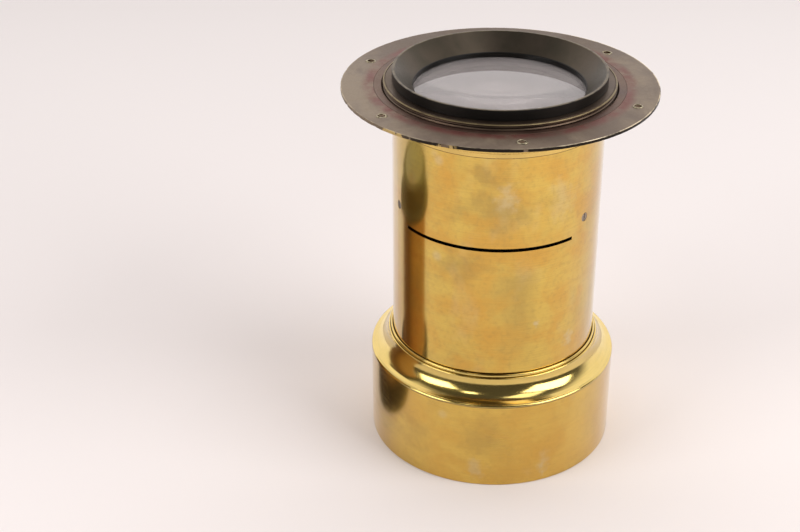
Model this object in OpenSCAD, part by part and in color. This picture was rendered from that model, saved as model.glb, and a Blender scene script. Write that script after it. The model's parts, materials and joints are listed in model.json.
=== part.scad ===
// Brass portrait lens with a slotted barrel, a flared front hood and a round mounting flange.
// It stands on the hood's rim. +Z runs up the optical axis, from the front of the lens to its rear.
// Every height is measured from the plane of the hood's rim, and every radius from the optical axis.

/* [Barrel] */
// Outer diameter of the barrel tube
barrel_d = 112; // [110:0.5:112.5]
// Wall of the barrel tube
barrel_wall = 2.6; // [2.5:0.05:2.7]
// Height of the barrel tube's front end
barrel_front_z = 48; // [47.9:0.05:48.1]
// Height of the seam between the barrel tube and the rear collar
seam_z = 191.1; // [188:0.1:193]
// Length of the tube's turned-down end inside the rear collar
socket_len = 6; // [4:0.5:7]

/* [Stop slot and guides] */
// Height of the middle of the stop slot
slot_z = 139.5; // [130:0.5:145]
// Height of the slot's opening
slot_gap = 1.9; // [1.5:0.1:2.1]
// Angle that the slot spans
slot_arc = 100; // [60:1:105]
// Direction of the middle of the slot round the barrel
slot_dir = -99; // [-180:1:180]
// Width of the stop plate that the guides take
stop_plate_w = 85; // [82:0.5:85.5]
// Diameter of the light opening through the guides
guide_bore_d = 81; // [70:0.5:81]
// Thickness of each guide ring's web
guide_web = 1.8; // [1.4:0.1:2]
// Height of the guide screws above the middle of the slot
screw_rise = 8.5; // [6.5:0.1:10]
// Number of guide screws
screw_count = 3; // [3:1:4]
// Diameter of a guide screw's countersunk head
screw_head_d = 4.8; // [4:0.1:5]
// Diameter of a guide screw's shank
screw_d = 2.5; // [2:0.1:3]

/* [Rear collar and flange] */
// Outer diameter of the rear collar's thread
collar_d = 121.4; // [121.2:0.1:121.6]
// Height of the rear collar's top face
collar_top_z = 211; // [210.5:0.1:211]
// Outer diameter of the mounting flange
flange_d = 165.3; // [150:0.5:180]
// Thickness of the mounting flange
flange_t = 1.7; // [1.5:0.1:3]
// Height of the flange's back face
flange_back_z = 208.35; // [207.5:0.05:209]
// Outer diameter of the ring brazed in the flange
boss_d = 131; // [129:0.5:133]
// Diameter of the circle of flange holes
flange_pcd = 148.6; // [142:0.2:155]
// Number of flange holes
flange_holes = 6; // [3:1:8]
// Diameter of a flange hole
flange_hole_d = 3.6; // [3:0.1:4.5]
// Direction of the first flange hole
flange_hole_dir = 34.8; // [0:0.2:60]

/* [Rear cell] */
// Outer diameter of the rear cell's rim
rear_rim_d = 112; // [110:0.5:118]
// Height of the rear cell's rim
rear_rim_z = 216.7; // [214:0.1:220]
// Diameter of the rear cell's mouth at the rim
rear_mouth_d = 109.6; // [104:0.2:109.6]
// Diameter of the rear cell's clear opening
rear_clear_d = 90; // [88:0.5:96]
// Height where the flared mouth meets the clear opening
rear_flare_z = 207.8; // [207:0.1:211]

/* [Hood] */
// Outer diameter of the hood's tube
hood_d = 136.2; // [134:0.2:138]
// Outer diameter of the hood's rim, where the shoulder meets the tube
hood_edge_d = 136.6; // [136.4:0.1:137.4]
// Wall of the hood's tube
hood_wall = 2; // [1.6:0.1:2.2]
// Height of the hood's rim
hood_edge_z = 52.3; // [51.5:0.1:53]
// Radius of the shoulder's hollow
cove_r = 10.3; // [10:0.1:10.4]
// Height of the hood collar's top edge, where it meets the barrel
hood_top_z = 64.8; // [64.4:0.1:65.5]
// Height of the shoulder's top edge
shoulder_top_z = 63.2; // [63:0.1:63.5]

/* [Glasses] */
// Diameter of all four glasses
glass_d = 102.4; // [102:0.1:102.5]
// Height of the front glass's front vertex
front_vertex_z = 45.8; // [45.5:0.1:46.2]
// Radius of the front glass's front surface
front_r1 = 201; // [195:1:215]
// Radius of the cemented surface
front_r2 = 157; // [155:1:165]
// Thickness of the front crown on the axis
front_crown_t = 18; // [18:0.1:18.5]
// Thickness of the front flint on the axis
front_flint_t = 4.2; // [3.5:0.1:4.6]
// Height of the rear glass's rear vertex
rear_vertex_z = 206.8; // [206.5:0.1:207]
// Radius of the rear crown's rear surface
rear_r7 = 568; // [540:1:600]
// Radius of the rear crown's front surface
rear_r6 = 173; // [172:1:178]
// Thickness of the rear crown on the axis
rear_crown_t = 13; // [13:0.1:13.5]
// Gap between the rear glasses on the axis
rear_gap = 12; // [11.5:0.1:12.5]
// Thickness of the rear flint on the axis
rear_flint_t = 5.4; // [5:0.1:6]
// Radius of the rear flint's hollow surface
rear_r5 = 140; // [138:1:145]
// Radius of the rear flint's front surface
rear_r4 = 398; // [390:1:420]

/* [Hidden] */
$fn = 180;

// Clearances: brazed or seated faces, turning threads, and the cutters' overshoot
seat = 0.05;
thread_fit = 0.06;
eps = 0.5;
// Small chamfers on turned edges, and the fine facets of small holes and rounded edges
chamfer = 0.4;
fine_fn = 48;

// Barrel tube
tube_r = barrel_d / 2;
bore_r = tube_r - barrel_wall;
socket_r = tube_r - barrel_wall / 2;
slot_w = 2 * tube_r * sin(slot_arc / 2);
screw_z = slot_z + screw_rise;
head_r = screw_head_d / 2;
shank_r = screw_d / 2;
head_depth = head_r - shank_r;
head_face_r = tube_r - 0.1;
head_slot_w = 0.6;
screw_len = 5;
screw_hole_len = 8;

// Stop guides: two webs with a space between them that the plate slides in
plate_space = slot_gap + 0.3;
space_z = slot_z - plate_space / 2;
guide_r = bore_r - seat;
guide_bore_r = guide_bore_d / 2;
pocket_r = stop_plate_w / 2 + 0.3;
skirt_t = 2.1;
skirt_top_z = screw_z + 4;
rivet_r = 1.2;
rivet_head_r = 2;
rivet_head_t = 0.6;
rivet_pcr = (pocket_r + guide_r) / 2;
rivet_spread = 55;

// Rear collar
collar_r = collar_d / 2;
collar_shelf_r = 63;
collar_shelf_z = 197;
collar_shelf_t = 1.8;
collar_skirt = 2.3;
collar_groove_r = 59.3;
collar_groove_w = 0.4;
collar_groove_depth = 0.3;

// Flange
boss_r = boss_d / 2;
boss_front_z = collar_shelf_z + collar_shelf_t + 0.2;
boss_bore_r = collar_r + thread_fit;
flange_front_z = flange_back_z - flange_t;
hole_r = flange_hole_d / 2;
hole_sink = 0.9;
boss_mouth = 0.9;
boss_edge = 1;

// Cells
cell_r = bore_r - thread_fit;
glass_r = glass_d / 2;
glass_bore_r = glass_r + seat;
rear_clear_r = rear_clear_d / 2;
rear_front_z = 173.5;
rear_rim_edge = 0.25;
front_lip_r = tube_r - 0.3;
front_lip_z = 44;
front_lip_t = 1.3;
front_mouth_len = 1.4;
front_rear_z = 74;
front_clear_r = 49.5;
spacer_wall = 2.8;
ring_wall = 3.2;
rear_ring_wall = 3.7;
rear_ring_front = 1.9;
ring_len = 4;
spanner_w = 3;
spanner_depth = 1.6;

// Heights along the two groups of glasses
front_cement_z = front_vertex_z + front_crown_t;
front_back_z = front_cement_z + front_flint_t;
rear_crown_front_z = rear_vertex_z - rear_crown_t;
rear_flint_rear_z = rear_crown_front_z - rear_gap;
rear_flint_front_z = rear_flint_rear_z - rear_flint_t;
flint_flat_r = 48;

// Hood
hood_r = hood_d / 2;
hood_bore_r = hood_r - hood_wall;
hood_edge_r = hood_edge_d / 2;
hood_edge_round = 1.2;
hood_edge_t = 1.4;
hood_thread_r = tube_r + 0.08;
hood_lip_r = tube_r + 1.4;
hood_foot_r = hood_lip_r + 2;
collar_front_z = 46;
shoulder_t = 2;
shoulder_lip_r = hood_lip_r + 1.2;
cove_x = shoulder_lip_r + cove_r;
cove_z = hood_edge_z + cove_r;
hood_foot_z = cove_z - sqrt(pow(cove_r + shoulder_t, 2) - pow(cove_x - hood_foot_r, 2)) - seat;
spigot_t = 1.5;
spigot_len = 4;

// How far a ball's surface of radius R bends away from its vertex at radius r
function sag(R, r) = R - sqrt(R * R - r * r);

// A ring between two radii and two heights
module ring(r_out, r_in, z0, z1) {
    translate([0, 0, z0]) difference() {
        cylinder(r = r_out, h = z1 - z0);
        translate([0, 0, -eps]) cylinder(r = r_in, h = z1 - z0 + 2 * eps);
    }
}

// Children repeated at count equal steps round the axis, the first at a given direction
module around(count, first) {
    for (i = [0 : count - 1]) rotate([0, 0, first + i * 360 / count]) children();
}

// A cylinder of glass to be cut by its surfaces
module glass_blank(z0, z1) {
    translate([0, 0, z0]) cylinder(r = glass_r, h = z1 - z0);
}

// A ball whose surface passes through the axis at height z; it lies above z for side 1, below for -1
module ball(R, z, side) {
    translate([0, 0, z + side * R]) sphere(r = R, $fn = 360);
}

// Two notches across a ring's end face, for a spanner
module spanner_notches(z) {
    translate([-glass_r - eps, -spanner_w / 2, z]) cube([2 * glass_r + 2 * eps, spanner_w, spanner_depth]);
}

// A countersunk screw's outline as a solid of revolution along +X, its head's face at radius face
module screw_body(face, length, slack) {
    translate([face, 0, 0]) rotate([0, -90, 0]) {
        cylinder(r = shank_r + slack, h = length, $fn = fine_fn);
        cylinder(r1 = head_r + slack, r2 = shank_r + slack, h = head_depth + slack, $fn = fine_fn);
    }
}

// Screws' places: evenly round the barrel, the first to one side of the slot's middle
module at_screws() {
    around(screw_count, slot_dir + 180 / screw_count) translate([0, 0, screw_z]) children();
}

// Rivets' places: on the side of the guides that is away from the slot
module at_rivets() {
    for (a = [-rivet_spread, 0, rivet_spread])
        rotate([0, 0, slot_dir + 180 + a]) translate([rivet_pcr, 0, 0]) children();
}

module barrel_tube() {
    color("goldenrod") difference() {
        union() {
            ring(tube_r, bore_r, barrel_front_z, seam_z);
            ring(socket_r, bore_r, seam_z - seat, seam_z + socket_len);
        }
        // the slot for drop-in stops
        rotate([0, 0, slot_dir]) translate([0, -slot_w / 2, slot_z - slot_gap / 2])
            cube([2 * tube_r, slot_w, slot_gap]);
        // countersunk holes for the guide screws
        at_screws() {
            screw_body(head_face_r, screw_hole_len, seat);
            translate([head_face_r - seat, 0, 0]) rotate([0, 90, 0])
                cylinder(r = head_r + seat, h = barrel_wall, $fn = fine_fn);
        }
    }
}

module rear_collar() {
    skirt_z = seam_z + collar_skirt;
    thread_z = collar_shelf_z + collar_shelf_t;
    color("sienna") rotate_extrude() difference() {
        polygon([[socket_r + seat, seam_z], [tube_r, seam_z], [tube_r, skirt_z],
                 [collar_shelf_r, collar_shelf_z], [collar_shelf_r, thread_z], [collar_r, thread_z],
                 [collar_r, collar_top_z - chamfer], [collar_r - chamfer, collar_top_z],
                 [bore_r, collar_top_z],
                 [bore_r, seam_z + socket_len + seat], [socket_r + seat, seam_z + socket_len + seat]]);
        // a fine groove in the top face
        translate([collar_groove_r, collar_top_z - collar_groove_depth]) square([collar_groove_w, 1]);
    }
}

module stop_guide_upper() {
    web_z = slot_z + plate_space / 2;
    color("dimgray") difference() {
        union() {
            ring(guide_r, guide_bore_r, web_z, web_z + guide_web);
            ring(guide_r, guide_r - skirt_t, web_z + guide_web - eps, skirt_top_z);
        }
        at_screws() screw_body(head_face_r, screw_hole_len, seat);
        at_rivets() cylinder(r = rivet_r + seat, h = 2 * slot_z, $fn = fine_fn);
    }
}

module stop_guide_lower() {
    color("dimgray") difference() {
        ring(guide_r, guide_bore_r, space_z - guide_web, space_z + plate_space);
        // the plate's pocket, open towards the slot
        rotate([0, 0, slot_dir]) translate([0, 0, space_z]) linear_extrude(plate_space + eps) union() {
            circle(r = pocket_r);
            translate([0, -pocket_r]) square([2 * tube_r, 2 * pocket_r]);
        }
        at_rivets() cylinder(r = rivet_r + seat, h = 2 * slot_z, $fn = fine_fn);
    }
}

module stop_guide_screws() {
    color("silver") at_screws() difference() {
        screw_body(head_face_r, screw_len, 0);
        translate([head_face_r - head_slot_w, -head_slot_w / 2, -head_r - eps])
            cube([2 * head_slot_w, head_slot_w, 2 * head_r + 2 * eps]);
    }
}

module guide_rivets() {
    stack = plate_space + 2 * guide_web;
    color("darkgoldenrod") at_rivets() translate([0, 0, space_z - guide_web]) {
        translate([0, 0, -rivet_head_t]) cylinder(r = rivet_r, h = stack + 2 * rivet_head_t);
        translate([0, 0, -rivet_head_t]) cylinder(r = rivet_head_r, h = rivet_head_t);
        translate([0, 0, stack]) cylinder(r = rivet_head_r, h = rivet_head_t);
    }
}

module flange_plate() {
    color("rosybrown") difference() {
        ring(flange_d / 2, boss_r + seat, flange_front_z, flange_back_z);
        around(flange_holes, flange_hole_dir) translate([flange_pcd / 2, 0, 0]) {
            cylinder(r = hole_r, h = flange_back_z + eps, $fn = fine_fn);
            // countersunk from the front face
            translate([0, 0, flange_front_z - 0.1])
                cylinder(r1 = hole_r + hole_sink, r2 = hole_r, h = hole_sink, $fn = fine_fn);
        }
    }
}

module flange_boss() {
    color("brown") rotate_extrude()
        polygon([[boss_bore_r, boss_front_z], [boss_r - boss_edge, boss_front_z],
                 [boss_r, boss_front_z + boss_edge], [boss_r, flange_back_z],
                 [boss_bore_r + boss_mouth, flange_back_z], [boss_bore_r, flange_back_z - boss_mouth]]);
}

module rear_cell() {
    shelf_z = collar_top_z + seat;
    mouth_r = rear_mouth_d / 2;
    rim_r = rear_rim_d / 2;
    seat_in_z = rear_vertex_z - sag(rear_r7, rear_clear_r) + seat;
    seat_out_z = rear_vertex_z - sag(rear_r7, glass_r) + seat;
    color("black") rotate_extrude()
        polygon([[cell_r, rear_front_z], [cell_r, shelf_z], [rim_r, shelf_z],
                 [rim_r, rear_rim_z - rear_rim_edge], [rim_r - rear_rim_edge, rear_rim_z],
                 [mouth_r, rear_rim_z], [rear_clear_r + 0.2, rear_flare_z],
                 [rear_clear_r, rear_flare_z - 0.2], [rear_clear_r, seat_in_z],
                 [glass_bore_r, seat_out_z], [glass_bore_r, rear_front_z]]);
}

module rear_crown() {
    color("lightsteelblue", 0.5) intersection() {
        glass_blank(rear_crown_front_z - 1, rear_vertex_z + 1);
        ball(rear_r7, rear_vertex_z, -1);
        ball(rear_r6, rear_crown_front_z, 1);
    }
}

module rear_spacer() {
    in_r = glass_r - spacer_wall;
    low_z = rear_flint_rear_z + sag(rear_r5, flint_flat_r) + seat;
    color("darkgoldenrod") rotate_extrude()
        polygon([[in_r, low_z], [glass_r, low_z],
                 [glass_r, rear_crown_front_z + sag(rear_r6, glass_r) - seat],
                 [in_r, rear_crown_front_z + sag(rear_r6, in_r) - seat]]);
}

module rear_flint() {
    color("lightsteelblue", 0.5) difference() {
        intersection() {
            glass_blank(rear_flint_front_z - 1, rear_flint_rear_z + sag(rear_r5, flint_flat_r));
            ball(rear_r4, rear_flint_front_z, 1);
        }
        ball(rear_r5, rear_flint_rear_z, 1);
    }
}

module rear_retaining_ring() {
    in_r = glass_r - rear_ring_wall;
    front_z = rear_flint_front_z - rear_ring_front;
    color("darkgoldenrod") difference() {
        rotate_extrude()
            polygon([[in_r, front_z], [glass_r, front_z],
                     [glass_r, rear_flint_front_z + sag(rear_r4, glass_r) - seat],
                     [in_r, rear_flint_front_z + sag(rear_r4, in_r) - seat]]);
        spanner_notches(front_z - eps);
    }
}

module front_cell() {
    seat_in_z = front_vertex_z + sag(front_r1, front_clear_r) - seat;
    seat_out_z = front_vertex_z + sag(front_r1, glass_r) - seat;
    shelf_z = barrel_front_z - seat;
    color("black") rotate_extrude()
        polygon([[front_lip_r, front_lip_z + chamfer], [front_lip_r, shelf_z], [cell_r, shelf_z],
                 [cell_r, front_rear_z], [glass_bore_r, front_rear_z], [glass_bore_r, seat_out_z],
                 [front_clear_r, seat_in_z], [front_clear_r, seat_in_z - front_mouth_len],
                 [front_lip_r - front_lip_t, front_lip_z], [front_lip_r - chamfer, front_lip_z]]);
}

module front_crown() {
    color("lightsteelblue", 0.5) intersection() {
        glass_blank(front_vertex_z - 1, front_cement_z + 1);
        ball(front_r1, front_vertex_z, 1);
        ball(front_r2, front_cement_z, -1);
    }
}

module front_flint() {
    edge_z = front_cement_z - sag(front_r2, glass_r) + 0.1;
    color("lightsteelblue", 0.5) difference() {
        glass_blank(edge_z, front_back_z);
        ball(front_r2 + seat, front_cement_z + seat, -1);
    }
}

module front_retaining_ring() {
    low_z = front_back_z + seat;
    color("darkgoldenrod") difference() {
        ring(glass_r, glass_r - ring_wall, low_z, low_z + ring_len);
        spanner_notches(low_z + ring_len - spanner_depth);
    }
}

module hood_collar() {
    lip = (hood_lip_r - hood_thread_r) / 2;
    color("goldenrod") rotate_extrude() union() {
        translate([hood_thread_r, collar_front_z])
            square([hood_foot_r - hood_thread_r, hood_foot_z - collar_front_z]);
        translate([hood_thread_r, collar_front_z])
            square([hood_lip_r - hood_thread_r, hood_top_z - lip - collar_front_z]);
        translate([hood_thread_r + lip, hood_top_z - lip]) circle(r = lip, $fn = fine_fn);
    }
}

module hood_shoulder() {
    hub_r = hood_lip_r + seat;
    lip = (shoulder_lip_r - hub_r) / 2;
    spigot_r = hood_bore_r - seat;
    tube_top_z = hood_edge_z - hood_edge_t;
    edge_in_r = hood_edge_r - hood_edge_round;
    color("gold") rotate_extrude() union() {
        // the hollow, a shell of even thickness
        intersection() {
            difference() {
                translate([cove_x, cove_z]) circle(r = cove_r + shoulder_t, $fn = 180);
                translate([cove_x, cove_z]) circle(r = cove_r, $fn = 180);
            }
            translate([hub_r, tube_top_z + seat])
                square([edge_in_r - hub_r, cove_z - tube_top_z - seat]);
        }
        // the hub, with its rounded lip
        translate([hub_r, hood_foot_z + seat]) square([2 * lip, shoulder_top_z - lip - hood_foot_z - seat]);
        translate([hub_r + lip, shoulder_top_z - lip]) circle(r = lip, $fn = fine_fn);
        // the rim, with its rounded edge, and the spigot inside the tube
        translate([spigot_r - spigot_t, tube_top_z + seat])
            square([edge_in_r - spigot_r + spigot_t, hood_edge_t - seat - 0.2]);
        intersection() {
            translate([edge_in_r, hood_edge_z - hood_edge_round]) circle(r = hood_edge_round);
            translate([spigot_r, tube_top_z + seat]) square(2 * hood_edge_t);
        }
        translate([spigot_r - spigot_t, tube_top_z - spigot_len]) square([spigot_t, spigot_len + 0.2]);
    }
}

module hood_tube() {
    color("goldenrod") rotate_extrude()
        polygon([[hood_bore_r, chamfer], [hood_bore_r + chamfer, 0], [hood_r - chamfer, 0],
                 [hood_r, chamfer], [hood_r, hood_edge_z - hood_edge_t],
                 [hood_bore_r, hood_edge_z - hood_edge_t]]);
}

barrel_tube();
rear_collar();
stop_guide_upper();
stop_guide_lower();
stop_guide_screws();
guide_rivets();
flange_plate();
flange_boss();
rear_cell();
rear_crown();
rear_spacer();
rear_flint();
rear_retaining_ring();
front_cell();
front_crown();
front_flint();
front_retaining_ring();
hood_collar();
hood_shoulder();
hood_tube();
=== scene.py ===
import json
import math
import random
from collections import namedtuple

import bmesh
import bpy
from mathutils import Matrix, Vector

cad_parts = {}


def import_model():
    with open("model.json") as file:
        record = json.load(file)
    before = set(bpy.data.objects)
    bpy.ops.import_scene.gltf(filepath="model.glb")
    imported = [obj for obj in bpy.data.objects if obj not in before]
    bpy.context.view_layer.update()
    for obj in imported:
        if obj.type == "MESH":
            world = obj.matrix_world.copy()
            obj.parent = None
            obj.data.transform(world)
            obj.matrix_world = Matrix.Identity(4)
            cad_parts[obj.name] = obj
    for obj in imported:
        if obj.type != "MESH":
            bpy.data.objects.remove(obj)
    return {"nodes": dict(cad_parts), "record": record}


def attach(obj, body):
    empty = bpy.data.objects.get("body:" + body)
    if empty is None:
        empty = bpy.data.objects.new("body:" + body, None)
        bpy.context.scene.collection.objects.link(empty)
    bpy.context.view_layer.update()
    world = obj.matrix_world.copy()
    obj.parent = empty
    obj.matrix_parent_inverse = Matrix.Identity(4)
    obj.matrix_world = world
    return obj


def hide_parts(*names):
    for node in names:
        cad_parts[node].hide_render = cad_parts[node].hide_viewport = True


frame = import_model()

MM = 0.001
STEPS = 288                      # facets round a turned piece
BEND_STEPS = 4                   # facets across a rounded corner
SMOOTH_TURN = math.radians(15)   # outline points that turn less than this belong to a curved wall
THREAD_PITCH = 1.5 * MM
THREAD_DEPTH = 0.45 * MM
THREAD_ROWS = 8                  # rows of faces to each turn of a thread
SAME_WALL = 0.02 * MM            # two radii closer than this are one wall
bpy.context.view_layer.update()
Reach = namedtuple("Reach", "r_in r_out low high")


# ---------------------------------------------------------------- turned pieces

def radius(point):
    return math.hypot(point[0], point[1])


def section(node):
    """The closed outline, as (radius, height) corners, that a CAD node's mesh sweeps round the axis."""
    mesh = frame["nodes"][node].data
    keys = [(round(radius(v.co), 6), round(v.co.z, 6)) for v in mesh.vertices]
    links = {}
    for edge in mesh.edges:
        a, b = (keys[i] for i in edge.vertices)
        if a != b:
            links.setdefault(a, set()).add(b)
            links.setdefault(b, set()).add(a)
    loop = [min(links)]
    while True:
        ahead = [p for p in links[loop[-1]] if p not in loop]
        if not ahead:
            break
        loop.append(min(ahead, key=lambda p: math.dist(p, loop[-1])))
    area = sum(a[0] * b[1] - b[0] * a[1] for a, b in zip(loop, loop[1:] + loop[:1]))
    return loop if area > 0 else loop[::-1]


def rounded(outline, edge):
    """Outline points as (radius, height, normal r, normal z); real corners get rounded by edge metres."""
    points = []
    for i, corner in enumerate(outline):
        here = Vector(corner)
        back = Vector(outline[i - 1]) - here
        ahead = Vector(outline[(i + 1) % len(outline)]) - here
        n0 = Vector((-back.y, back.x)).normalized()
        n1 = Vector((ahead.y, -ahead.x)).normalized()
        turn = n0.angle(n1)
        if turn < SMOOTH_TURN:
            normal = (n0 + n1).normalized()
            points.append((*here, *normal))
            continue
        cut = min(edge * math.tan(turn / 2), 0.4 * back.length, 0.4 * ahead.length)
        first = here + back.normalized() * cut
        bend = cut / math.tan(turn / 2)
        side = 1 if n0.cross(n1) > 0 else -1
        centre = first - side * bend * n0
        for step in range(BEND_STEPS + 1):
            normal = n0.slerp(n1, step / BEND_STEPS)
            points.append((*(centre + side * bend * normal), *normal))
    return points


def threaded(points, threads):
    """Adds each point's thread depth, and splits the straight walls that threads are cut into.
    A thread is (radius of its wall, lowest height, highest height)."""
    out = []
    for i, point in enumerate(points):
        out.append((*point, 0))
        after = points[(i + 1) % len(points)]
        for at_radius, low, high in threads:
            wall = max(abs(point[0] - at_radius), abs(after[0] - at_radius)) < SAME_WALL
            if not wall or abs(after[1] - point[1]) < high - low:
                continue
            rows = round((high - low) / THREAD_PITCH * THREAD_ROWS)
            heights = [low + (high - low) * k / rows for k in range(rows + 1)]
            if after[1] < point[1]:
                heights.reverse()
            for z in heights:
                fade = min(1, 2 * min(z - low, high - z) / THREAD_PITCH)
                out.append((point[0], z, point[2], 0, fade * THREAD_DEPTH))
    return out


def revolve(name, points):
    """A closed mesh of revolution with its exact surface normals, through outline points of
    (radius, height, normal r, normal z, thread depth)."""
    verts, normals = [], []
    for step in range(STEPS):
        angle = 2 * math.pi * step / STEPS
        c, s = math.cos(angle), math.sin(angle)
        for r, z, nr, nz, depth in points:
            phase = 2 * math.pi * (z / THREAD_PITCH - step / STEPS)
            r_cut = r - math.copysign(depth, nr) * (0.5 - 0.5 * math.cos(phase))
            slope = math.copysign(depth, nr) * math.pi / THREAD_PITCH * math.sin(phase)
            if depth:
                n = Vector((nr, nr * slope)).normalized()
                nr, nz = n.x, n.y
            verts.append((r_cut * c, r_cut * s, z))
            normals.append((nr * c, nr * s, nz))
    count = len(points)
    faces = []
    for step in range(STEPS):
        a = step * count
        b = (step + 1) % STEPS * count
        for k in range(count):
            m = (k + 1) % count
            faces.append((a + k, b + k, b + m, a + m))
    mesh = bpy.data.meshes.new(name)
    mesh.from_pydata(verts, [], faces)
    mesh.shade_smooth()
    mesh.normals_split_custom_set_from_vertices(normals)
    piece = bpy.data.objects.new(name, mesh)
    bpy.context.scene.collection.objects.link(piece)
    return piece


def with_lip(outline, lip_r, low, high):
    """Adds a thin lip, from low to high, to the wall that is nearest the axis."""
    r_in = min(point[0] for point in outline)
    out = []
    for i, here in enumerate(outline):
        after = outline[(i + 1) % len(outline)]
        out.append(here)
        if max(here[0], after[0]) < r_in + SAME_WALL:
            first, last = (low, high) if after[1] > here[1] else (high, low)
            out += [(here[0], first), (lip_r, first), (lip_r, last), (here[0], last)]
    return out


def turned(node, look, edge=0.2 * MM, threads=(), lip=None):
    """The visible piece that stands for a turned CAD node. Threads, and the lip's (radius, lowest
    height, highest height), are in millimetres."""
    outline = section(node)
    if lip:
        outline = with_lip(outline, *(v * MM for v in lip))
    threads = [tuple(v * MM for v in thread) for thread in threads]
    piece = revolve("turned_" + node, threaded(rounded(outline, edge), threads))
    finish_piece(piece, node, look)


def finish_piece(piece, node, look):
    """Material, body and the CAD node that a piece stands for."""
    piece.data.materials.append(look)
    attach(piece, BODY_OF[node])
    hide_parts(node)


BODY_OF = {n: body for body, nodes in frame["record"]["behaviour"]["bodies"].items() for n in nodes}


def reach(node):
    """How far a CAD node reaches from the axis and along it, in metres."""
    verts = frame["nodes"][node].data.vertices
    radii = [radius(v.co) for v in verts]
    heights = [v.co.z for v in verts]
    return Reach(min(radii), max(radii), min(heights), max(heights))


# ---------------------------------------------------------------- materials

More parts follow.
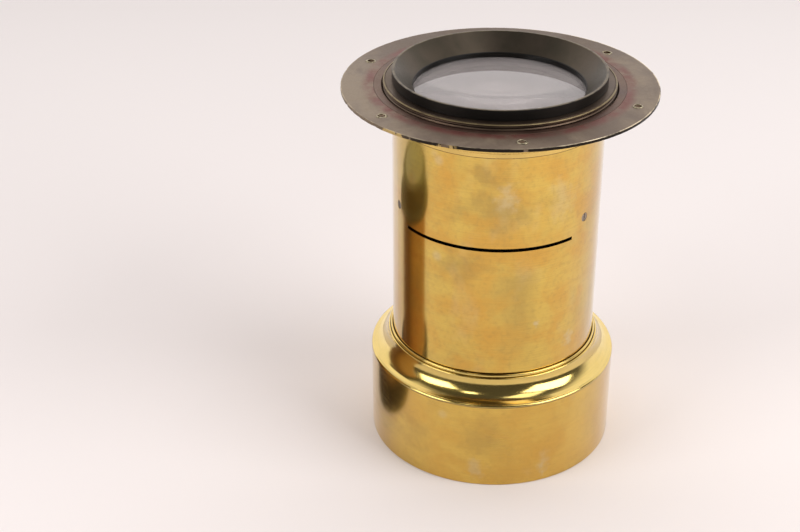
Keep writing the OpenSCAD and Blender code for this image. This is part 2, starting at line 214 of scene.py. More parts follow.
class Look:
    """A procedural material. Its coordinates are the piece's own, in millimetres: x, y, z, the
    radius r, and the direction round the axis, way, in radians."""

    def __init__(self, name):
        self.material = bpy.data.materials.new(name)
        self.material.use_nodes = True
        self.tree = self.material.node_tree
        self.shader = self.tree.nodes["Principled BSDF"]
        place = self.add("TexCoord").outputs["Object"]
        self.place = self.vector("SCALE", place, scale=1000)
        split = self.add("SeparateXYZ", self.place)
        self.x, self.y, self.z = split.outputs
        self.r = self.math("SQRT", self.math("ADD", self.math("MULTIPLY", self.x, self.x),
                                             self.math("MULTIPLY", self.y, self.y)))
        self.way = self.math("ARCTAN2", self.y, self.x)

    def add(self, kind, *inputs, **settings):
        node = self.tree.nodes.new("ShaderNode" + kind)
        for key, value in settings.items():
            setattr(node, key, value)
        for socket, value in zip(node.inputs, inputs):
            self.put(socket, value)
        return node

    def put(self, socket, value):
        if isinstance(value, bpy.types.NodeSocket):
            self.tree.links.new(value, socket)
        elif value is not None:
            socket.default_value = value

    def math(self, kind, a, b=0.0, clamp=False):
        return self.add("Math", a, b, operation=kind, use_clamp=clamp).outputs[0]

    def vector(self, kind, a, b=None, scale=None):
        node = self.add("VectorMath", a, b, operation=kind)
        if scale is not None:
            node.inputs["Scale"].default_value = scale
        return node.outputs[0]

    def ramp(self, value, low, high, to_low=0.0, to_high=1.0):
        """A smooth step from to_low, where value is low, to to_high, where it is high."""
        node = self.add("MapRange", value, low, high, to_low, to_high, interpolation_type="SMOOTHSTEP")
        return node.outputs[0]

    def band(self, value, low, high, soft):
        """1 between low and high, falling to 0 over soft on either side."""
        return self.math("MULTIPLY", self.ramp(value, low - soft, low),
                         self.ramp(value, high, high + soft, 1, 0))

    def noise(self, size, detail=3.0, seed=0.0, stretch=(1, 1, 1), warp=0.0, rough=0.5):
        """Cloudy noise, 0 to 1, whose patches are about size millimetres across."""
        place = self.vector("MULTIPLY", self.place, stretch)
        node = self.add("TexNoise", noise_dimensions="4D")
        self.put(node.inputs["Vector"], place)
        for key, value in (("W", seed), ("Scale", 1 / size), ("Detail", detail), ("Distortion", warp),
                           ("Roughness", rough)):
            node.inputs[key].default_value = value
        return node.outputs[0]

    def rings(self, size, seed=0.0):
        """Fine noise that only changes with the distance from the axis, as a lathe tool's marks do."""
        place = self.add("CombineXYZ", self.r, self.math("MULTIPLY", self.way, 0.4 * size), seed)
        node = self.add("TexNoise", noise_dimensions="3D")
        self.put(node.inputs["Vector"], place.outputs[0])
        node.inputs["Scale"].default_value = 1 / size
        node.inputs["Detail"].default_value = 2
        return node.outputs[0]

    def mix(self, factor, a, b):
        """Colour a where factor is 0 and b where it is 1."""
        node = self.add("Mix", data_type="RGBA", clamp_factor=True)
        for socket, value in ((node.inputs[0], factor), (node.inputs[6], a), (node.inputs[7], b)):
            self.put(socket, (*value, 1) if isinstance(value, tuple) else value)
        return node.outputs[2]

    def spots(self, size, share, small, large, seed=0.0):
        """Round soft spots scattered in cells of size millimetres; share of the cells have one."""
        place = self.vector("ADD", self.place, (seed, 2 * seed, 3 * seed))
        node = self.add("TexVoronoi", place)
        node.inputs["Scale"].default_value = 1 / size
        draw = self.add("SeparateColor", node.outputs["Color"]).outputs[0]
        chosen = self.math("LESS_THAN", draw, share)
        spot = self.ramp(node.outputs["Distance"], small / size, large / size, 1, 0)
        return self.math("MULTIPLY", spot, chosen)

    def blot(self, direction, height, wide, tall, strength):
        """A cloudy patch of a turned wall: direction in degrees, the rest in millimetres."""
        at = math.radians(direction)
        ahead = self.math("ADD", self.math("MULTIPLY", self.x, math.cos(at) / wide),
                          self.math("MULTIPLY", self.y, math.sin(at) / wide))
        across = self.math("SUBTRACT", self.math("MULTIPLY", self.y, math.cos(at) / wide),
                           self.math("MULTIPLY", self.x, math.sin(at) / wide))
        up = self.math("MULTIPLY", self.math("SUBTRACT", self.z, height), 1 / tall)
        away = self.math("SQRT", self.math("ADD", self.math("MULTIPLY", across, across),
                                           self.math("MULTIPLY", up, up)))
        clouds = self.noise(0.4 * (wide + tall), 5, direction, rough=0.6)
        ragged = self.ramp(clouds, 0.25, 0.75, -0.6, 0.6)
        cloudy = self.math("ADD", away, ragged)
        return self.math("MULTIPLY", self.ramp(cloudy, 0.05, 1.25, strength, 0),
                         self.math("GREATER_THAN", ahead, 0.0))

    def inward(self):
        """1 on walls that face the axis, 0 elsewhere."""
        normal = self.add("SeparateXYZ", self.add("TexCoord").outputs["Normal"])
        out = self.math("ADD", self.math("MULTIPLY", normal.outputs[0], self.math("COSINE", self.way)),
                        self.math("MULTIPLY", normal.outputs[1], self.math("SINE", self.way)))
        return self.ramp(out, -0.75, -0.45, 1, 0)

    def mix_values(self, factor, a, b):
        """Number a where factor is 0 and b where it is 1."""
        return self.add("Mix", factor, None, a, b, data_type="FLOAT").outputs[0]

    def bump(self, height, depth):
        """A bump of depth millimetres for heights from 0 to 1, on top of any bump before it."""
        node = self.add("Bump")
        node.inputs["Distance"].default_value = depth * MM
        self.put(node.inputs["Height"], height)
        before = self.shader.inputs["Normal"].links
        if before:
            self.put(node.inputs["Normal"], before[0].from_socket)
        self.put(self.shader.inputs["Normal"], node.outputs[0])

    def set(self, **values):
        """Sets or links the shader's sockets; a name's underscores stand for spaces."""
        for key, value in values.items():
            value = (*value, 1) if isinstance(value, tuple) else value
            self.put(self.shader.inputs[key.replace("_", " ")], value)


DIRT = (0.055, 0.032, 0.014)
SOOT = (0.010, 0.009, 0.008)


def brass(name, clean, aged, amber, pale, patina, rough, seams=(), stains=(), satin=0.0, seed=0.0,
          dark_bore=True):
    """Lacquered brass: olive and amber patina, pale spots, turning marks, stains (on the barrel also a
    painted reflection) and dirty seams.
    A seam is (height, half its height, softness). dark_bore blackens the walls that face the axis."""
    tones = {"aged": aged, "amber": amber, "pale": pale}
    look = Look(name)
    clouds = look.noise(34, 4, seed, (1, 1, 0.75), 0.5, 0.55)
    warm = look.noise(24, 4, seed + 7, (1, 1, 1.3), 0.4, 0.55)
    mottle = look.noise(2.4, 3, seed + 3, rough=0.6)
    milky = look.noise(20, 3, seed + 11, (1, 1, 0.6), 0.3)
    marks = look.noise(0.3, 2, seed + 5, (0.015, 0.015, 1))
    color = look.mix(look.ramp(clouds, 0.44, 0.72, 0, 0.6 * patina), clean, aged)
    color = look.mix(look.ramp(warm, 0.38, 0.64, 0, patina), color, amber)
    color = look.mix(look.ramp(milky, 0.54, 0.78, 0, 0.5 * patina), color, pale)
    for tone, direction, height, wide, tall, strength in stains:
        color = look.mix(look.blot(direction, height, wide, tall, strength), color, tones[tone])
    bright = look.spots(17, 0.22, 1.0, 4.0, seed)
    color = look.mix(look.math("MULTIPLY", bright, 0.6 * patina), color, pale)
    color = look.mix(look.ramp(mottle, 0.45, 0.8, 0, 0.40 * patina), color, aged)
    color = look.mix(look.ramp(marks, 0.35, 0.75, 0, 0.18), color, aged)
    specks = look.spots(6, 0.22, 0.12, 0.28, seed + 1)
    color = look.mix(look.math("MULTIPLY", specks, 0.7 * patina), color, DIRT)
    for height, half, soft in seams:
        near = look.math("MULTIPLY", look.band(look.z, height - half, height + half, soft),
                         look.ramp(look.noise(5, 3, seed + 17), 0.25, 0.55, 0.5, 0.85))
        color = look.mix(near, color, DIRT)
    shine = look.math("ADD", look.ramp(clouds, 0.3, 0.75, rough, rough + 0.07),
                      look.ramp(marks, 0.3, 0.7, 0, 0.04 + satin))
    if dark_bore:
        bore = look.inward()
        color = look.mix(bore, color, SOOT)
        shine = look.math("MAXIMUM", shine, look.math("MULTIPLY", bore, 0.7))
        look.set(Metallic=look.math("SUBTRACT", 1.0, bore), Coat_Weight=look.ramp(bore, 0, 1, 0.8, 0))
    else:
        look.set(Metallic=1.0, Coat_Weight=0.5)
    look.set(Base_Color=color, Roughness=shine, Coat_Roughness=0.12, Coat_IOR=1.5)
    look.bump(marks, 0.003 + 0.02 * satin)
    look.bump(mottle, 0.003)
    look.bump(look.noise(38, 1, seed + 2), 0.05)
    return look.material


# Stains, and a painted reflection on the barrel: tone, direction in degrees, height, half width and half
# height in millimetres, strength
BARREL_STAINS_AND_REFLECTION = [
    ("aged", -94, 162, 21, 12, 0.5),
    # painted reflection: this amber patch at the upper left stands for the flange's underside reflected
    # in the barrel
    ("amber", -122, 178, 10, 17, 0.7),
    ("aged", -99, 182, 12, 7, 0.45),
    ("amber", -103, 156, 13, 5, 0.6),
    ("pale", -88, 170, 7, 8, 0.6),
    ("aged", -114, 128, 15, 10, 0.4),
    ("pale", -70, 94, 2.2, 2.2, 0.8),
    ("pale", -47, 78, 4, 5, 0.7),
    ("amber", -40, 103, 5, 9, 0.6),
    ("amber", -75, 135, 22, 9, 0.5),
    ("pale", -58, 165, 9, 14, 0.4),
    ("amber", -97, 92, 20, 9, 0.45),
]
HOOD_STAINS = [
    ("pale", -68, 12, 4, 8, 0.75),
    ("pale", -100, 11, 5, 7, 0.5),
    ("aged", -98, 30, 10, 17, 0.45),
    ("amber", -75, 20, 20, 12, 0.5),
    ("aged", -130, 25, 10, 16, 0.4),
]


def lacquered_brass(seams, stains):
    return brass("lacquered brass", (0.68, 0.465, 0.085), (0.31, 0.205, 0.05), (0.64, 0.345, 0.045),
                 (0.62, 0.50, 0.26), 0.8, 0.09, seams, stains)


def hood_brass(seams, stains):
    return brass("hood brass", (0.70, 0.465, 0.085), (0.40, 0.26, 0.055), (0.62, 0.35, 0.05),
                 (0.62, 0.50, 0.27), 0.6, 0.16, seams, stains, satin=0.03, seed=31.0)


def polished_brass(seams):
    return brass("polished brass", (0.68, 0.50, 0.14), (0.45, 0.32, 0.08), (0.60, 0.40, 0.08),
                 (0.64, 0.53, 0.27), 0.35, 0.10, seams, seed=57.0)


def plain_brass():
    return brass("plain brass", (0.62, 0.45, 0.20), (0.36, 0.26, 0.13), (0.56, 0.36, 0.13),
                 (0.60, 0.50, 0.33), 0.6, 0.25, seed=71.0, dark_bore=False)


def bronzed(look, light, dark):
    """Base colour of old bronzed brass: brown, cloudy, with streaks and a fine light grain, with painted
    light at the left and right and painted shade at the back.
    """
    clouds = look.noise(22, 5, 2.0, warp=0.6, rough=0.6)
    streaks = look.noise(6, 4, 9.0, (1, 0.4, 1), 0.5, 0.65)
    fine = look.noise(0.9, 3, 4.0, rough=0.65)
    # painted light at the left and right, painted shade at the back
    left = look.ramp(look.x, -82, -25, 0.24, 0)
    right = look.ramp(look.x, 35, 82, 0, 0.15)
    back = look.ramp(look.y, 15, 75, 0, -0.2)
    tone = look.math("ADD", clouds, look.math("ADD", back, look.math("ADD", left, right)))
    color = look.mix(look.ramp(tone, 0.38, 0.80), dark, light)
    color = look.mix(look.ramp(streaks, 0.5, 0.75, 0, 0.4), color, dark)
    color = look.mix(look.ramp(fine, 0.55, 0.8, 0, 0.25), color, light)
    rough = look.math("ADD", look.ramp(clouds, 0.3, 0.7, 0.34, 0.46),
                      look.ramp(fine, 0.4, 0.7, 0, 0.08))
    look.set(Metallic=0.9, Roughness=rough)
    look.bump(look.rings(0.35), 0.006)
    look.bump(fine, 0.010)
    look.bump(clouds, 0.03)
    return color


def flange_bronze(rim_r, top_z, seam_r):
    """Bronze with red-brown stains at the seam, a black rim with chips and a worn bright top edge."""
    look = Look("bronzed flange")
    color = bronzed(look, (0.24, 0.185, 0.13), (0.115, 0.078, 0.053))
    stain = look.math("MULTIPLY", look.band(look.r, seam_r, seam_r + 2.5, 5),
                      look.ramp(look.noise(9, 4, 21.0, rough=0.6), 0.32, 0.62, 0.2, 0.9))
    color = look.mix(stain, color, (0.145, 0.042, 0.034))
    side = look.ramp(look.r, rim_r - 0.30, rim_r - 0.20)
    worn_left = look.ramp(look.x, -66, -40, 1, 0)
    black = look.mix(worn_left, (0.020, 0.015, 0.011), (0.20, 0.15, 0.10))
    color = look.mix(side, color, black)
    chips = look.ramp(look.noise(6, 3, 17.0, (1, 1, 0.5), rough=0.6), 0.50, 0.55)
    chipped = look.math("MULTIPLY", look.band(look.x, -62, -28, 4), look.ramp(look.y, -40, -30, 1, 0))
    chips = look.math("MULTIPLY", look.math("MULTIPLY", side, chips), chipped)
    color = look.mix(chips, color, (0.50, 0.36, 0.15))
    rubbed = look.math("MULTIPLY", look.ramp(look.noise(9, 4, 13.0, rough=0.65), 0.36, 0.6),
                       look.math("ADD", 0.35, look.ramp(look.x, 5, 40, 0, 0.65)))
    edge = look.math("MULTIPLY", look.band(look.r, rim_r - 0.5, rim_r - 0.05, 0.1),
                     look.ramp(look.z, top_z - 0.22, top_z - 0.10))
    color = look.mix(look.math("MULTIPLY", edge, rubbed), color, (0.72, 0.60, 0.42))
    look.set(Base_Color=color)
    return look.material


def collar_metal(brass_top, edge_r, top_z):
    """The rear collar: plain brass below the flange, dark bronze on top with a rubbed outer edge."""
    look = Look("bronzed collar")
    color = bronzed(look, (0.14, 0.10, 0.068), (0.085, 0.055, 0.038))
    edge = look.math("MULTIPLY", look.band(look.r, edge_r - 0.7, edge_r, 0.15),
                     look.ramp(look.z, top_z - 0.5, top_z - 0.2))
    rubbed = look.ramp(look.noise(7, 4, 13.0, rough=0.65), 0.3, 0.6, 0.3, 1)
    color = look.mix(look.math("MULTIPLY", edge, rubbed), color, (0.24, 0.185, 0.095))
    below = look.ramp(look.z, brass_top - 0.1, brass_top, 1, 0)
    skirt = look.mix(look.ramp(look.noise(20, 3, 33.0), 0.4, 0.7, 0, 0.7),
                     (0.72, 0.50, 0.15), (0.50, 0.35, 0.11))
    color = look.mix(below, color, skirt)
    dull = look.ramp(look.noise(22, 5, 2.0), 0.3, 0.7, 0.34, 0.5)
    look.set(Base_Color=color, Roughness=look.mix_values(below, dull, 0.13))
    return look.material


def boss_metal():
    look = Look("bronzed boss")
    look.set(Base_Color=bronzed(look, (0.16, 0.10, 0.07), (0.08, 0.042, 0.03)))
    return look.material


def burr_metal():
    """Brass raised round the flange's screw holes, bright where screw heads rubbed it."""
    look = Look("burred brass")
    fine = look.noise(0.5, 3, 5.0, rough=0.7)
    color = look.mix(look.ramp(fine, 0.4, 0.65), (0.50, 0.44, 0.30), (0.16, 0.12, 0.07))
    look.set(Base_Color=color, Metallic=0.9, Roughness=look.ramp(fine, 0.3, 0.7, 0.28, 0.45))
    look.bump(fine, 0.02)
    return look.material


def black_lacquer(rim_r, rim_z, shelf_z, clear_r):
    """Black lacquer, worn on the rim to brown metal and thin in the flared mouth, which lies above
    shelf_z and outside clear_r."""
    look = Look("black lacquer")
    fine = look.noise(0.9, 3, 3.0, rough=0.6)
    clouds = look.noise(18, 4, 8.0, warp=0.4)
    flare = look.math("MULTIPLY", look.ramp(look.z, shelf_z, shelf_z + 0.5),
                      look.ramp(look.r, clear_r + 0.1, clear_r + 0.5))
    flare = look.math("MULTIPLY", flare, look.ramp(look.r, rim_r - 0.30, rim_r - 0.15, 1, 0))
    cone = look.mix(look.ramp(clouds, 0.35, 0.65), (0.060, 0.050, 0.035), (0.080, 0.062, 0.045))
    color = look.mix(flare, (0.007, 0.006, 0.005), cone)
    lip = look.math("MULTIPLY", look.ramp(look.z, rim_z - 0.30, rim_z - 0.10),
                    look.ramp(look.noise(6, 4, 14.0, rough=0.65), 0.35, 0.6, 0.1, 0.8))
    color = look.mix(lip, color, (0.17, 0.135, 0.09))
    rough = look.math("ADD", look.ramp(flare, 0, 1, 0.30, 0.36), look.ramp(fine, 0.4, 0.7, 0, 0.08))
    look.set(Base_Color=color, Roughness=rough, Metallic=look.ramp(flare, 0, 1, 0.0, 0.9),
             Specular_IOR_Level=look.ramp(flare, 0, 1, 0.22, 0.5))
    look.bump(look.rings(0.5, 2.0), 0.006)
    look.bump(fine, 0.004)
    return look.material


def black_inside():
    look = Look("matt black")
    fine = look.noise(0.6, 3, 5.0)
    look.set(Base_Color=look.mix(look.ramp(fine, 0.4, 0.7), SOOT, (0.022, 0.020, 0.018)),
             Roughness=look.ramp(fine, 0.3, 0.7, 0.6, 0.75))
    look.bump(fine, 0.01)
    return look.material


def screw_metal():
    look = Look("browned steel")
    fine = look.noise(0.5, 3, 5.0, rough=0.7)
    color = look.mix(look.ramp(fine, 0.35, 0.65), (0.40, 0.33, 0.26), (0.19, 0.15, 0.115))
    look.set(Base_Color=color, Metallic=0.85, Roughness=look.ramp(fine, 0.3, 0.7, 0.35, 0.5))
    look.bump(fine, 0.01)
    return look.material


def optical_glass(name, glass_r, film, sheen):
    """Polished glass under a grey film of dust, with a blackened ground edge."""
    look = Look(name)
    haze = look.noise(14, 4, 4.0, warp=0.6)
    edge = look.ramp(look.r, glass_r - 0.12, glass_r - 0.04)
    clear = look.math("SUBTRACT", look.ramp(haze, 0.3, 0.7, 1 - film, 0.97 - film), edge, clamp=True)
    rough = look.math("ADD", look.ramp(haze, 0.3, 0.8, 0.0, 0.012), look.math("MULTIPLY", edge, 0.6))
    look.set(Base_Color=look.mix(edge, (0.96, 0.875, 0.86), SOOT), IOR=1.52, Roughness=rough,
             Transmission_Weight=clear, Specular_IOR_Level=sheen)
    look.bump(haze, 0.0004)
    return look.material


def floor_look():
    look = Look("paper floor")
    fine = look.noise(1.2, 4, 1.0, rough=0.6)
    # painted shade: the paper is darker in front of the lens, towards the camera, and lighter further
    # back
    near = look.mix(fine, (0.83, 0.765, 0.75), (0.85, 0.785, 0.77))
    far = look.mix(fine, (0.95, 0.885, 0.87), (0.97, 0.905, 0.89))
    look.set(Base_Color=look.mix(look.ramp(look.y, -50, 700), near, far), Roughness=0.75,
             Specular_IOR_Level=0.15)
    look.bump(fine, 0.02)
    return look.material


def dark_screen_look():
    """A dull dark screen: a brown post, with painted light in front and painted shade behind, a black
    foot, a dark head and a grey top. The steps between them are at the heights of dark_screen's outline."""
    look = Look("dark screen")
    # painted light and shade: the post is lighter in front and darker behind
    post = look.mix(look.ramp(look.y, -14, 6), (0.50, 0.30, 0.11), (0.20, 0.10, 0.035))
    color = look.mix(look.ramp(look.z, 19, 21), (0.025, 0.018, 0.010), post)
    color = look.mix(look.ramp(look.z, 115, 116), color, (0.13, 0.12, 0.06))
    top = look.mix(look.ramp(look.r, 28, 29.5), (0.42, 0.42, 0.33), (0.17, 0.16, 0.09))
    color = look.mix(look.ramp(look.z, 134.0, 134.6), color, top)
    look.set(Base_Color=color, Roughness=0.6)
    return look.material


# ---------------------------------------------------------------- the flange: holes, burrs, nicks

def hole_centres(node, circle, hole_r, count):
    """Centres of a circle's count evenly spaced holes, whose direction is found from the CAD mesh."""
    total = 0
    for v in frame["nodes"][node].data.vertices:
        if abs(radius(v.co) - circle) < hole_r * 1.1:
            way = count * math.atan2(v.co.y, v.co.x)
            total += complex(math.cos(way), math.sin(way))
    first = math.atan2(total.imag, total.real) / count
    ways = [first + 2 * math.pi * k / count for k in range(count)]
    return [Vector((circle * math.cos(way), circle * math.sin(way), 0)) for way in ways]


def ring_of(mesh, centre, r, z, steps=40):
    """Corners of a level circle; r and z may be numbers or functions of the direction."""
    corners = []
    for k in range(steps):
        way = 2 * math.pi * k / steps
        ring_r = r(way) if callable(r) else r
        ring_z = z(way) if callable(z) else z
        corners.append(mesh.verts.new((centre.x + ring_r * math.cos(way),
                                       centre.y + ring_r * math.sin(way), ring_z)))
    return corners


def join_rings(mesh, pairs):
    """Faces between the two rings of each pair."""
    for a, b in pairs:
        for k in range(len(a)):
            m = (k + 1) % len(a)
            mesh.faces.new((a[k], a[m], b[m], b[k]))


def made(mesh, name):
    """A scene object from a bmesh."""
    data = bpy.data.meshes.new(name)
    mesh.to_mesh(data)
    mesh.free()
    thing = bpy.data.objects.new(name, data)
    bpy.context.scene.collection.objects.link(thing)
    return thing


def hole_cutter(centres, hole_r, low, high):
    """Closed solids that cut holes with a shallow countersink on the plate's lower face."""
    sink = 0.5 * MM
    past = 1 * MM        # how far the cutters stand out of the plate
    profile = [(hole_r + 2 * sink, low - past), (hole_r + sink, low), (hole_r, low + sink),
               (hole_r, high + past)]
    mesh = bmesh.new()
    for centre in centres:
        rings = [ring_of(mesh, centre, r, z) for r, z in profile]
        join_rings(mesh, zip(rings, rings[1:]))
        mesh.faces.new(list(reversed(rings[0])))
        mesh.faces.new(rings[-1])
    bmesh.ops.recalc_face_normals(mesh, faces=mesh.faces)
    return made(mesh, "hole_cutter")


def nick_rim(data, r_out, high, rng):
    """Small dents in the plate's upper edge, pushed inwards and down. A nick is (direction, half its
    width in radians, depth); nine deeper ones are between the left and the front, twelve all round."""
    nicks = [(math.radians(rng.uniform(-165, -80)), rng.uniform(0.010, 0.03), rng.uniform(0.15, 0.4) * MM)
             for _ in range(9)]
    nicks += [(rng.uniform(-math.pi, math.pi), rng.uniform(0.008, 0.02), rng.uniform(0.08, 0.22) * MM)
              for _ in range(12)]
    for v in data.vertices:
        if radius(v.co) < r_out - 0.5 * MM:
            continue
        way = math.atan2(v.co.y, v.co.x)
        for at, half, depth in nicks:
            off = abs((way - at + math.pi) % (2 * math.pi) - math.pi) / half
            if off < 1:
                push = depth * (1 - off * off)
                v.co.xy *= 1 - push / r_out
                if v.co.z > high - 0.4 * MM:
                    v.co.z -= 0.4 * push


def flange_plate(look, centres, hole_r):
    """The flange: a thin disc with six screw holes and a nicked, rounded rim."""
    r_in, r_out, low, high = reach("flange_plate")
    r_out -= 0.03 * MM        # keeps the nicked disc inside the box of the CAD mesh's facets
    outline = [(r_in, low), (r_out, low), (r_out, high), (r_in, high)]
    piece = revolve("turned_flange_plate", threaded(rounded(outline, 0.22 * MM), ()))
    nick_rim(piece.data, r_out, high, random.Random(5))
    cutter = hole_cutter(centres, hole_r, low, high)
    cut = piece.modifiers.new("holes", "BOOLEAN")
    cut.object = cutter
    cut.solver = "EXACT"
    piece.modifiers.new("normals", "WEIGHTED_NORMAL").keep_sharp = True
    depsgraph = bpy.context.evaluated_depsgraph_get()
    drilled = bpy.data.meshes.new_from_object(piece.evaluated_get(depsgraph))
    piece.modifiers.clear()
    piece.data = drilled
    bpy.data.objects.remove(cutter)
    finish_piece(piece, "flange_plate", look)


def burrs(look, centres, hole_r, top):
    """Low ragged rims of brass pushed up round the flange's screw holes."""
    rng = random.Random(11)
    mesh = bmesh.new()
    foot = top - 0.05 * MM        # the burrs' feet are a little way in the plate
    for centre in centres:
        wave = [(rng.uniform(0, 6.3), rng.uniform(0.1, 0.45)) for _ in range(3)]

        def ragged(way, wave=wave):
            return sum(size * math.sin((k + 1) * way + at) for k, (at, size) in enumerate(wave))

        inner = ring_of(mesh, centre, hole_r + 0.03 * MM, foot)
        crest = ring_of(mesh, centre, hole_r + 0.35 * MM,
                        lambda way: top + (0.28 + 0.3 * ragged(way)) * MM)
        outer = ring_of(mesh, centre, lambda way: hole_r + (1.1 + 0.7 * ragged(way)) * MM, foot)
        join_rings(mesh, ((inner, crest), (crest, outer), (outer, inner)))
    bmesh.ops.recalc_face_normals(mesh, faces=mesh.faces)
    piece = made(mesh, "flange_burrs")
    piece.data.shade_smooth()
    piece.data.materials.append(look)
    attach(piece, BODY_OF["flange_plate"])


# ---------------------------------------------------------------- build

def in_mm(node):
    return Reach(*(v / MM for v in reach(node)))


mounts = {m["name"]: m for m in frame["record"]["mounts"]}
hole_dims = mounts["flange_holes"]["dims"]
hole_r = hole_dims["hole_r_mm"] * MM
holes = hole_centres("flange_plate", hole_dims["pcd_mm"] / 2 * MM, hole_r, hole_dims["count"])

# The nodes' reach and places along them, in millimetres
tube = in_mm("barrel_tube")
collar = in_mm("rear_collar")
plate = in_mm("flange_plate")
boss = in_mm("flange_boss")
cell = in_mm("rear_cell")
lip = in_mm("hood_collar")
shoulder = in_mm("hood_shoulder")
hood = in_mm("hood_tube")
glass = in_mm("rear_crown")
THREAD_FIT = 0.06                             # how far a thread's wall is inside the bore it turns in
cell_wall = tube.r_in - THREAD_FIT            # radius of both cells' threads
collar_wall = boss.r_in - THREAD_FIT          # radius of the rear collar's thread
rear_thread = (tube.high + 0.5, collar.high - 0.5)
front_thread = (49, 62)
flare_depth = 9                               # the rear cell's flared mouth, down from its rim
shoulder_seam = shoulder.low + 4
spacer_lip = (38.5, 195.6, 196.8)             # its opening's radius, its lower face, its upper face

looks = {
    "brass": lacquered_brass([(collar.low, 0.12, 0.15), (lip.high, 0.15, 0.4)], BARREL_STAINS_AND_REFLECTION),
    "hood": hood_brass([(hood.high, 0.15, 0.2)], HOOD_STAINS),
    "polished": polished_brass([(shoulder_seam, 0.2, 0.2)]),
    "plain": plain_brass(),
    "plate": flange_bronze(plate.r_out, plate.high, boss.r_out),
    "boss": boss_metal(),
    "collar": collar_metal(boss.low, collar_wall, collar.high),
    "lacquer": black_lacquer(cell.r_out, cell.high, cell.high - flare_depth, cell.r_in),
    "inside": black_inside(),
    "screws": screw_metal(),
    "outer glass": optical_glass("dusty glass", glass.r_out, film=0.15, sheen=0.12),
    "glass": optical_glass("optical glass", glass.r_out, film=0.08, sheen=0.7),
    "burrs": burr_metal(),
}

flange_plate(looks["plate"], holes, hole_r)
burrs(looks["burrs"], holes, hole_r, plate.high * MM)
turned("flange_boss", looks["boss"], 0.15 * MM, [(boss.r_in, boss.low + 0.4, boss.high - 1.3)])
turned("rear_collar", looks["collar"], 0.15 * MM,
       [(collar_wall, boss.low + 0.3, collar.high - 0.9), (tube.r_in, *rear_thread)])
turned("rear_cell", looks["lacquer"], threads=[(cell_wall, *rear_thread)])
turned("rear_spacer", looks["inside"], lip=spacer_lip)
turned("front_cell", looks["lacquer"], threads=[(cell_wall, *front_thread)])
turned("hood_collar", looks["polished"], threads=[(lip.r_in, lip.low + 1, lip.low + 12)])
turned("hood_shoulder", looks["polished"])
turned("hood_tube", looks["hood"])

# The nodes that keep their CAD meshes, and their looks
CAD_MESH_LOOKS = {
    "barrel_tube": "brass",
    "stop_guide_upper": "inside", "stop_guide_lower": "inside",
    "stop_guide_screws": "screws", "guide_rivets": "plain",
    "rear_crown": "outer glass", "rear_flint": "glass",
    "front_crown": "glass", "front_flint": "glass",
    "rear_retaining_ring": "inside", "front_retaining_ring": "inside",
}
for cad_node, look_name in CAD_MESH_LOOKS.items():
    materials = frame["nodes"][cad_node].data.materials
    materials.clear()
    materials.append(looks[look_name])


# ---------------------------------------------------------------- studio

FLOOR_HALF = 6.0                             # half the side of the paper floor
SCREEN_PLACE = (-0.134, -0.008, 0)
AIM = (0, 0, 0.1)                            # the point that every light faces
SOFT_BOXES = {                               # place, size, radiance
    "key_right": ((1.1, -0.6, 0.9), (1.1, 0.9), 4.9),
    "key_left": ((-1.1, -0.6, 0.8), (0.8, 0.7), 4.9),
    "high_right": ((0.7, -0.55, 1.9), (0.7, 0.7), 2.2),
    "high_left": ((-0.6, -1.1, 1.7), (0.35, 0.35), 4),
}
# The room's light by direction: the dim room up to DIM_Y, the pale sweep from PALE_Y on
DIM_Y, PALE_Y = 0.02, 0.40
DIM_STRENGTH, PALE_STRENGTH = 0.10, 1.32
ROOM_COLOR = (1.0, 0.97, 0.96, 1)
BACKDROP_COLOR = (0.90, 0.84, 0.82, 1)
# The camera, fitted to the photograph
EYE = (-0.0521, -0.7147, 0.4994)
PITCH, ROLL = 29.22, -0.22                   # degrees down from level, and about the line of sight
FOCAL_LENGTH, SENSOR_WIDTH = 66.41, 36


def soft_box(name, place, size, radiance):
    """An area light that the camera can't see."""
    light = bpy.data.lights.new(name, "AREA")
    light.shape = "RECTANGLE"
    light.size, light.size_y = size
    light.energy = radiance * math.pi * size[0] * size[1]
    thing = bpy.data.objects.new(name, light)
    thing.location = place
    thing.rotation_euler = (Vector(AIM) - Vector(place)).to_track_quat("-Z", "Y").to_euler()
    thing.visible_camera = False
    bpy.context.scene.collection.objects.link(thing)


def paper_floor():
    data = bpy.data.meshes.new("paper_floor")
    half = FLOOR_HALF
    corners = [(-half, -half, 0), (half, -half, 0), (half, half, 0), (-half, half, 0)]
    data.from_pydata(corners, [], [(0, 1, 2, 3)])
    data.materials.append(floor_look())
    thing = bpy.data.objects.new("paper_floor", data)
    bpy.context.scene.collection.objects.link(thing)


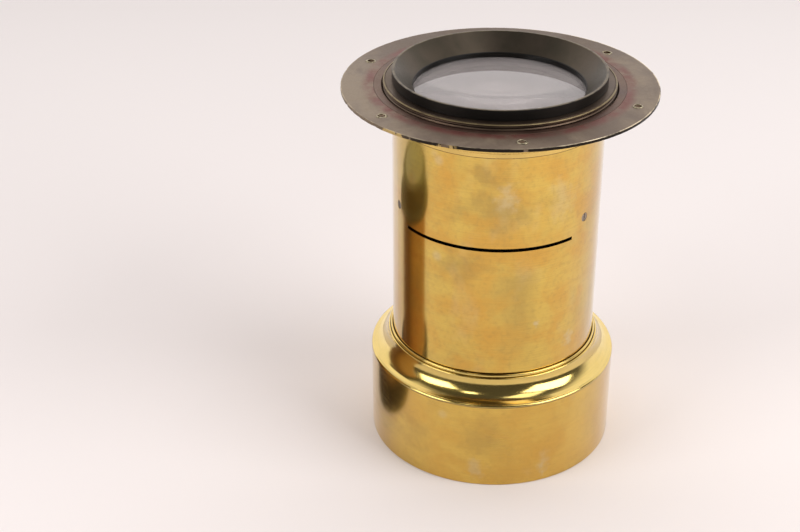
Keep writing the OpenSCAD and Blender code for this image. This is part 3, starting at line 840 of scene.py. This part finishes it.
def dark_screen():
    """A round dark screen at the left that only shows as a reflection in the brass, where the
    photograph's second lens is reflected."""
    outline = [(0.0001, 0), (0.045, 0), (0.045, 0.019), (0.036, 0.020), (0.036, 0.116), (0.044, 0.117),
               (0.044, 0.120), (0.037, 0.121), (0.037, 0.135), (0.0001, 0.135)]
    thing = revolve("dark_screen", threaded(rounded(outline, 1 * MM), ()))
    thing.location = SCREEN_PLACE
    thing.data.materials.append(dark_screen_look())
    thing.visible_camera = False
    thing.visible_diffuse = False
    thing.visible_transmission = False
    thing.visible_shadow = False


def world():
    """A pale sweep behind the object that fades to a dim room over and behind the camera."""
    sky = bpy.data.worlds.new("room")
    sky.use_nodes = True
    tree = sky.node_tree
    room = tree.nodes["Background"]
    split = tree.nodes.new("ShaderNodeSeparateXYZ")
    fade = tree.nodes.new("ShaderNodeMapRange")
    fade.interpolation_type = "SMOOTHSTEP"
    for name, value in (("From Min", DIM_Y), ("From Max", PALE_Y), ("To Min", DIM_STRENGTH),
                        ("To Max", PALE_STRENGTH)):
        fade.inputs[name].default_value = value
    tree.links.new(tree.nodes.new("ShaderNodeTexCoord").outputs["Generated"], split.inputs[0])
    tree.links.new(split.outputs["Y"], fade.inputs["Value"])
    tree.links.new(fade.outputs[0], room.inputs["Strength"])
    room.inputs["Color"].default_value = ROOM_COLOR
    backdrop = tree.nodes.new("ShaderNodeBackground")
    backdrop.inputs["Color"].default_value = BACKDROP_COLOR
    path = tree.nodes.new("ShaderNodeLightPath")
    mix = tree.nodes.new("ShaderNodeMixShader")
    tree.links.new(path.outputs["Is Camera Ray"], mix.inputs[0])
    tree.links.new(room.outputs[0], mix.inputs[1])
    tree.links.new(backdrop.outputs[0], mix.inputs[2])
    tree.links.new(mix.outputs[0], tree.nodes["World Output"].inputs[0])
    bpy.context.scene.world = sky


paper_floor()
dark_screen()
world()
for box_name, box in SOFT_BOXES.items():
    soft_box(box_name, *box)

camera = bpy.data.cameras.new("camera")
camera.lens = FOCAL_LENGTH
camera.sensor_width = SENSOR_WIDTH
camera.clip_start = 0.01
eye = bpy.data.objects.new("camera", camera)
eye.matrix_world = (Matrix.Translation(EYE)
                    @ Matrix.Rotation(math.radians(90 - PITCH), 4, "X")
                    @ Matrix.Rotation(math.radians(ROLL), 4, "Z"))
bpy.context.scene.collection.objects.link(eye)
bpy.context.scene.camera = eye
bpy.context.scene.view_settings.view_transform = "Standard"
